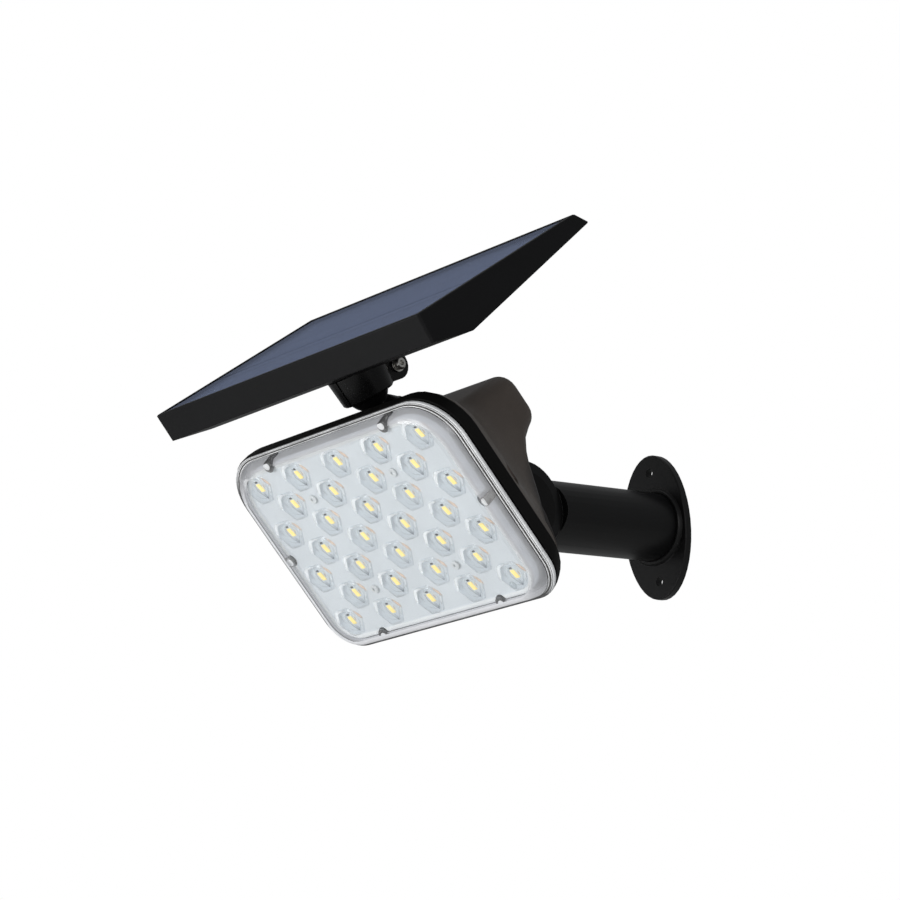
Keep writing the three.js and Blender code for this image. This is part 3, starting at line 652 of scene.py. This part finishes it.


# Painted light inside each lens, about the LED's image: a painted warm glow thrown by the phosphor, painted highlights
# on the flanks, painted dark lines where the collimator's folds bend the light. Slot 0 painted warm glow, 1 painted
# highlight, 2 painted shade.
PAINTED_INSIDE = [
    (0, -1.53, [(3.8, -6.2, 0.5, 0), (5.6, -3.9, 1.15, 0.75), (7.0, -1.7, 1.3, 1.0), (7.9, 0.2, 0.9, 0.5),
                (8.2, 1.4, 0.4, 0)]),
    (0, -1.54, [(2.5, -2.2, 0.4, 0), (2.75, 0.0, 0.7, 0.9), (2.9, 1.6, 0.4, 0)]),
    (1, -1.56, [(7.2, -0.6, 0.4, 0), (6.5, 0.9, 0.85, 1.0), (5.3, 3.3, 0.95, 1.0), (4.0, 5.7, 0.5, 0)]),
    (1, -1.56, [(-1.6, -5.8, 0.3, 0), (-3.3, -3.4, 0.5, 0.8), (-4.3, -0.8, 0.4, 0)]),
    (1, -1.57, [(0.4, -5.4, 0.3, 0), (2.6, -4.9, 0.5, 0.7), (4.0, -3.6, 0.4, 0)]),
    (2, -1.55, [(-2.1, -4.4, 0.3, 0.2), (-3.3, -1.6, 0.34, 0.7), (-3.6, 0.9, 0.36, 0.75),
                (-1.9, 4.0, 0.42, 0.8), (0.3, 7.2, 0.45, 0.95), (0.9, 7.9, 0.3, 0)]),
    (2, -1.55, [(0.2, 7.2, 0.3, 0.8), (2.6, 4.9, 0.36, 0.5), (4.2, 2.4, 0.3, 0.35), (5.0, -1.6, 0.25, 0)]),
    (2, -1.54, [(-0.9, 2.7, 0.5, 0), (0.1, 4.6, 1.25, 0.50), (0.7, 6.6, 0.9, 0.75), (0.8, 7.5, 0.3, 0.3)]),
    (2, -1.53, [(-7.4, -3.2, 0.6, 0), (-7.0, -0.6, 1.1, 0.30), (-6.2, 1.8, 0.7, 0)]),
    (2, -1.56, [(-7.4, 2.4, 0.3, 0), (-5.2, 5.6, 0.3, 0.4), (-1.4, 6.9, 0.3, 0.45), (2.6, 6.6, 0.3, 0.1)]),
]
# Painted highlights and painted shade lines on the outside of each lens, by the lens centre and its own height.
PAINTED_OUTSIDE = [
    (1, [(-9.2, 0.9, -2.4, 0.9, 0), (-8.0, -2.6, -2.6, 1.5, 0.8), (-6.3, -5.6, -2.75, 1.7, 1.0),
         (-4.9, -7.5, -2.85, 1.5, 1.0), (-2.4, -7.9, -2.75, 1.0, 0.8), (0.6, -7.9, -2.7, 0.6, 0.35), (3.6, -7.9, -2.7, 0.4, 0)]),
    (2, [(-7.6, 1.6, -2.6, 0.3, 0), (-5.4, 6.0, -2.6, 0.35, 0.4), (-3.9, 8.0, -2.5, 0.45, 0.65),
         (1.0, 8.2, -2.3, 0.45, 0.5), (4.6, 7.9, -2.4, 0.3, 0)]),
    (2, [(4.9, 7.9, -2.0, 0.25, 0.3), (7.2, 4.0, -2.0, 0.22, 0.25), (9.0, 0.6, -2.0, 0.2, 0)]),
]


def lens_painted_light():
    painted_warm_glow = painted_patch("painted_warm_spot", (0.97, 0.66, 0.46), (1.0, 0.74, 0.56), 0.66)
    painted_highlight = painted_patch("lens_painted_highlight", (0.94, 0.96, 0.98), (1.0, 1.0, 1.0), 0.85)
    dark = painted_patch("lens_painted_shade", (0.16, 0.19, 0.23), (0.24, 0.27, 0.31), 0.62)
    bm = bmesh.new()
    layer = bm.verts.layers.float.new("fade")
    for k, (x, v) in enumerate(leds):
        vary = 0.78 + 0.22 * math.sin(k * 2.4 + 0.7)
        for slot, w, pts in PAINTED_INSIDE:
            share = vary if slot else 1
            path = [(x + LIFT_X + px, v + LIFT_V + pv, w, h, level * share) for px, pv, h, level in pts]
            ribbon(bm, layer, path, slot)
        for slot, pts in PAINTED_OUTSIDE:
            ribbon(bm, layer, [(x + px, v + pv, w - 0.12, h, level * vary) for px, pv, w, h, level in pts], slot)
    return mesh_object("lens_painted_light", bm, [painted_warm_glow, painted_highlight, dark])


lens_painted_light()

# ---------------------------------------------------------------- clear cover: front, slope, stepped flange
pane = clear("cover_front", (0.985, 0.99, 0.992), 0.03, (0.85, 0.88, 0.91), rough=0.05)
slope = clear("cover_slope", (0.95, 0.952, 0.955), 0.07, (0.46, 0.465, 0.48), rough=0.12, rim=0.35)


def slope_painted_light():
    """Painted light: the slope's haze and painted glow grow with the mask that its vertices carry."""
    t = Tree.of(slope)
    painted_light_mask = t.attribute("painted_light_mask")
    hazes = [n for n in t.nodes if n.type == "MIX_SHADER" and n.inputs["Fac"].links[0].from_node.type == "MAP_RANGE"]
    for n in hazes:
        more = t.add("ShaderNodeMath", operation="ADD", use_clamp=True)
        t.link(n.inputs["Fac"].links[0].from_socket, more.inputs[0])
        t.link(painted_light_mask, more.inputs[1])
        t.link(more.outputs[0], n.inputs["Fac"])
    paint_glow(slope, (0.66, 0.67, 0.70), t.math("MULTIPLY", painted_light_mask, 0.5))


slope_painted_light()
# Painted highlight and painted shade: the flange's clear steps get a white copy and a near-black copy of the plastic.
lip_painted_light = clear("cover_lip_painted_light", (0.95, 0.96, 0.97), 0.80, (0.80, 0.81, 0.82), rough=0.15)
lip_painted_shade = clear("cover_lip_painted_shade", (0.30, 0.29, 0.28), 0.75, (0.035, 0.033, 0.03), rough=0.1)


def flange_painted_shade():
    """Painted shade: the stepped flange's white steps turn dark at the left and below, where it is seen edge on."""
    t = Tree.of(lip_painted_light)
    t.scale_colour(t.span(t.attribute("painted_light_mask"), 1.0, 0.05, 0.35, 0.7))


flange_painted_shade()
COVER = [  # half width, half height, corner, depth, material of the faces that end here
    (60.0, 37.0, 8.0, -5.5, 0), (76.6, 53.6, 19.6, -5.5, 0), (78.3, 55.3, 21.0, -5.38, 0), (79.6, 56.5, 22.0, -5.05, 1),
    (80.9, 57.6, 22.9, -4.4, 1), (82.2, 58.6, 23.8, -3.5, 1), (83.6, 59.4, 24.5, -2.2, 1), (85.0, 60.0, 25.1, -0.6, 1),
    (86.2, 60.6, 25.6, 1.2, 1), (86.4, 60.7, 25.7, 1.75, 3), (86.6, 60.8, 25.8, 1.8, 2), (87.1, 61.0, 26.0, 1.85, 2),
    (87.2, 61.1, 26.1, 2.2, 3), (88.1, 61.6, 26.5, 2.25, 3), (88.2, 61.7, 26.6, 2.1, 2), (88.9, 61.9, 26.9, 2.12, 2),
    (89.0, 62.0, 27.0, 2.3, 3), (89.2, 62.1, 27.1, 2.3, 3), (89.3, 62.15, 27.15, 2.15, 2), (90.0, 62.4, 27.5, 2.2, 2),
    (90.3, 62.5, 27.6, 2.5, 2), (90.3, 62.5, 27.6, 3.7, 2), (90.2, 62.4, 27.5, 3.9, 3),
    (84.6, 59.0, 24.6, 3.9, 1), (83.6, 58.3, 24.0, 1.4, 1),
    (81.2, 57.2, 22.6, -1.2, 1), (78.8, 55.5, 21.1, -3.1, 1), (76.8, 53.8, 19.8, -3.7, 0), (60.0, 37.0, 8.0, -3.7, 0),
]
OUTER_ROWS = 22  # rows of COVER that lie on its outer skin and flange
MOST_PAINTED_MIST, INNER_PAINTED_MIST = 0.9, 0.58  # fullest painted haze, and the least that the inner skin has


def cover_shell():
    bm = bmesh.new()
    layer = bm.verts.layers.float.new("painted_light_mask")
    rows = loft(bm, [head_loop(hx, hy, r, w) for hx, hy, r, w, _ in COVER], True, True)
    for k, row in enumerate(rows):
        for i, vert in enumerate(row):
            corner, step = divmod(i, ARC + 1)
            a = math.radians(-90 + 90 * corner + 90 * step / ARC)
            # Painted light: the mask is heavier at the left and below, where the slope is lightened.
            level = MOST_PAINTED_MIST * max(0.0, min(1.0, 0.66 + 0.3 * math.sin(a) - 0.34 * math.cos(a)))
            outer = max(0.0, min(MOST_PAINTED_MIST, (level - 0.42) * 2))
            vert[layer] = outer if k < OUTER_ROWS else max(INNER_PAINTED_MIST, level)
    bm.faces.ensure_lookup_table()
    n = 4 * (ARC + 1)
    for i, f in enumerate(bm.faces):
        f.material_index = COVER[min(i // n + 1, len(COVER) - 1)][4] if i < n * (len(COVER) - 1) else 0
    return mesh_object("cover_shell", bm, [pane, slope, lip_painted_light, lip_painted_shade], smooth_angle=30)


cover = cover_shell()
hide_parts("clear_cover")

# The posts are one clear plastic in three tones: the dark and grey sides are painted shade, the pale ends a painted
# highlight.
post_side_painted_shade = clear("post_side_painted_shade", (0.34, 0.34, 0.35), 0.62, (0.045, 0.044, 0.044), rough=0.1, rim=1.2)
post_end_painted_highlight = clear("post_end_painted_highlight", (0.95, 0.96, 0.97), 0.85, (0.90, 0.91, 0.92), rough=0.2)
post_glass = clear("post_glass", (0.80, 0.80, 0.79), 0.35, (0.42, 0.41, 0.40), rough=0.08, rim=1.3)


def kept_in(x, v, w):
    """Hold a point inside the cover's outer face."""
    room = [(a, b, d) for a, b, _, d, _ in COVER[1:10]] + [(86.6, 60.8, 4.2)]
    hx, hy = room[0][:2]
    for (a0, b0, d0), (a1, b1, d1) in zip(room, room[1:]):
        if d0 <= w <= d1 and d1 > d0:
            k = (w - d0) / (d1 - d0)
            hx, hy = a0 + (a1 - a0) * k, b0 + (b1 - b0) * k
    return (max(-hx + 0.25, min(hx - 0.25, x)), max(-hy + 0.25, min(hy + 0.55, v)), w)


def cover_posts():
    bm = bmesh.new()

    def post(x, v, steps, end_x, end_v, end_r, end_w, side_slot):
        start = len(bm.faces)
        loft(bm, [[kept_in(*p) for p in circle(x + dx, v + dv, r, w)] for dx, dv, r, w in steps], True, True)
        bm.faces.ensure_lookup_table()
        for f in list(bm.faces)[start:]:
            f.material_index = side_slot
        start = len(bm.faces)
        loft(bm, [[kept_in(*p) for p in circle(x + end_x, v + end_v, r, w)]
                  for r, w in ((end_r * 0.9, end_w - 0.12), (end_r, end_w), (end_r * 0.95, end_w + 0.3))], True, True)
        bm.faces.ensure_lookup_table()
        for f in list(bm.faces)[start:]:
            f.material_index = 1

    comma = [(0.35, 1.1, 2.9, -3.55), (0.35, 1.1, 3.4, -3.3), (0.5, 0.9, 3.35, -2.8), (1.2, -0.4, 2.5, -1.5),
             (2.0, -1.7, 1.75, -0.2), (2.8, -2.6, 1.5, 1.0), (3.2, -3.0, 2.2, 1.9), (3.3, -3.0, 2.4, 3.8)]
    stub = [(0, 0, 2.6, -3.5), (0, 0, 3.2, -3.3), (0.2, 0, 3.1, -2.4), (0.3, 0, 2.5, -0.6), (0.3, 0, 2.4, 3.8)]
    lean = [(2.3, 0.1, 2.3, -3.6), (2.4, 0.1, 2.7, -3.4), (3.4, -0.2, 2.7, -2.0), (5.0, -0.8, 2.4, -0.2),
            (6.4, -1.3, 2.3, 1.4), (6.4, -1.3, 2.6, 3.8)]
    for x, v in posts:
        if v < 0:
            post(x, v, comma, 0.0, 0.2, 2.25, -3.8, 0)
        elif v > 0:
            post(x, v, stub, 0.5, 0.4, 1.9, -3.75, 0)
        elif x > 0:
            post(x, v, lean, 2.5, 0.2, 2.2, -3.8, 2)
        else:
            post(x, v, stub, 0.8, 0.2, 2.3, -3.75, 2)
    return mesh_object("cover_posts", bm, [post_side_painted_shade, post_end_painted_highlight, post_glass])


cover_posts()

# ---------------------------------------------------------------- floor, light, camera
floor_bm = bmesh.new()
for a, b in ((-4, -4), (4, -4), (4, 4), (-4, 4)):
    floor_bm.verts.new((a, b, -0.62))
floor_bm.faces.new(floor_bm.verts)
floor_mesh = bpy.data.meshes.new("floor")
floor_bm.to_mesh(floor_mesh)
floor_bm.free()
floor_pale = moulded("floor_pale", (0.82, 0.82, 0.81), rough=(0.7, 0.85), patch=1.5, contrast=0.02, edge=None)
floor_mesh.materials.append(floor_pale)
floor = bpy.data.objects.new("floor", floor_mesh)
bpy.context.scene.collection.objects.link(floor)

scene = bpy.context.scene
world = bpy.data.worlds.new("studio")
scene.world = world
world.use_nodes = True
wn, wl = world.node_tree.nodes, world.node_tree.links
wn.clear()
w_out = wn.new("ShaderNodeOutputWorld")
seen, lit, pick = wn.new("ShaderNodeBackground"), wn.new("ShaderNodeBackground"), wn.new("ShaderNodeMixShader")
path = wn.new("ShaderNodeLightPath")
seen.inputs["Color"].default_value = (1, 1, 1, 1)
seen.inputs["Strength"].default_value = 1.0
lit.inputs["Color"].default_value = (0.97, 0.985, 1.0, 1)
lit.inputs["Strength"].default_value = 0.30
wl.new(path.outputs["Is Camera Ray"], pick.inputs["Fac"])
wl.new(lit.outputs[0], pick.inputs[1])
wl.new(seen.outputs[0], pick.inputs[2])
wl.new(pick.outputs[0], w_out.inputs["Surface"])


def softbox(name, where, aim, size, power):
    data = bpy.data.lights.new(name, "AREA")
    data.shape = "RECTANGLE"
    data.size, data.size_y = size
    data.energy = power
    lamp = bpy.data.objects.new(name, data)
    lamp.location = where
    lamp.rotation_mode = "QUATERNION"
    lamp.rotation_quaternion = (Vector(aim) - Vector(where)).to_track_quat("-Z", "Y")
    scene.collection.objects.link(lamp)
    return lamp


centre = (0, -0.2, 0.0)
softbox("key_front", (-0.5, -1.9, -0.3), centre, (1.5, 1.1), 33)
softbox("side_right", (1.7, -0.7, 0.15), centre, (0.8, 1.0), 8)
softbox("top_soft", (-0.5, -0.5, 2.0), centre, (1.8, 1.8), 8)
softbox("low_right", (1.3, -1.0, -1.5), centre, (0.9, 0.5), 13)

cam_data = bpy.data.cameras.new("camera")
cam_data.sensor_width = 36
cam_data.lens = 120
cam_data.clip_start, cam_data.clip_end = 0.01, 50
cam = bpy.data.objects.new("camera", cam_data)
right, forward = Vector((0.6569, 0.75, -0.077)), Vector((-0.7209, 0.6547, 0.2274))
forward.normalize()
right = (right - forward * right.dot(forward)).normalized()
up = right.cross(forward)
cam.matrix_world = Matrix((
    (right.x, up.x, -forward.x, 1.1708),
    (right.y, up.y, -forward.y, -1.2205),
    (right.z, up.z, -forward.z, -0.3385),
    (0, 0, 0, 1),
))
scene.collection.objects.link(cam)
scene.camera = cam
scene.view_settings.view_transform = "Standard"
scene.view_settings.look = "None"
scene.view_settings.exposure = 0
scene.view_settings.gamma = 1
scene.cycles.use_denoising = True
scene.cycles.transparent_max_bounces = 24
scene.cycles.max_bounces = 10
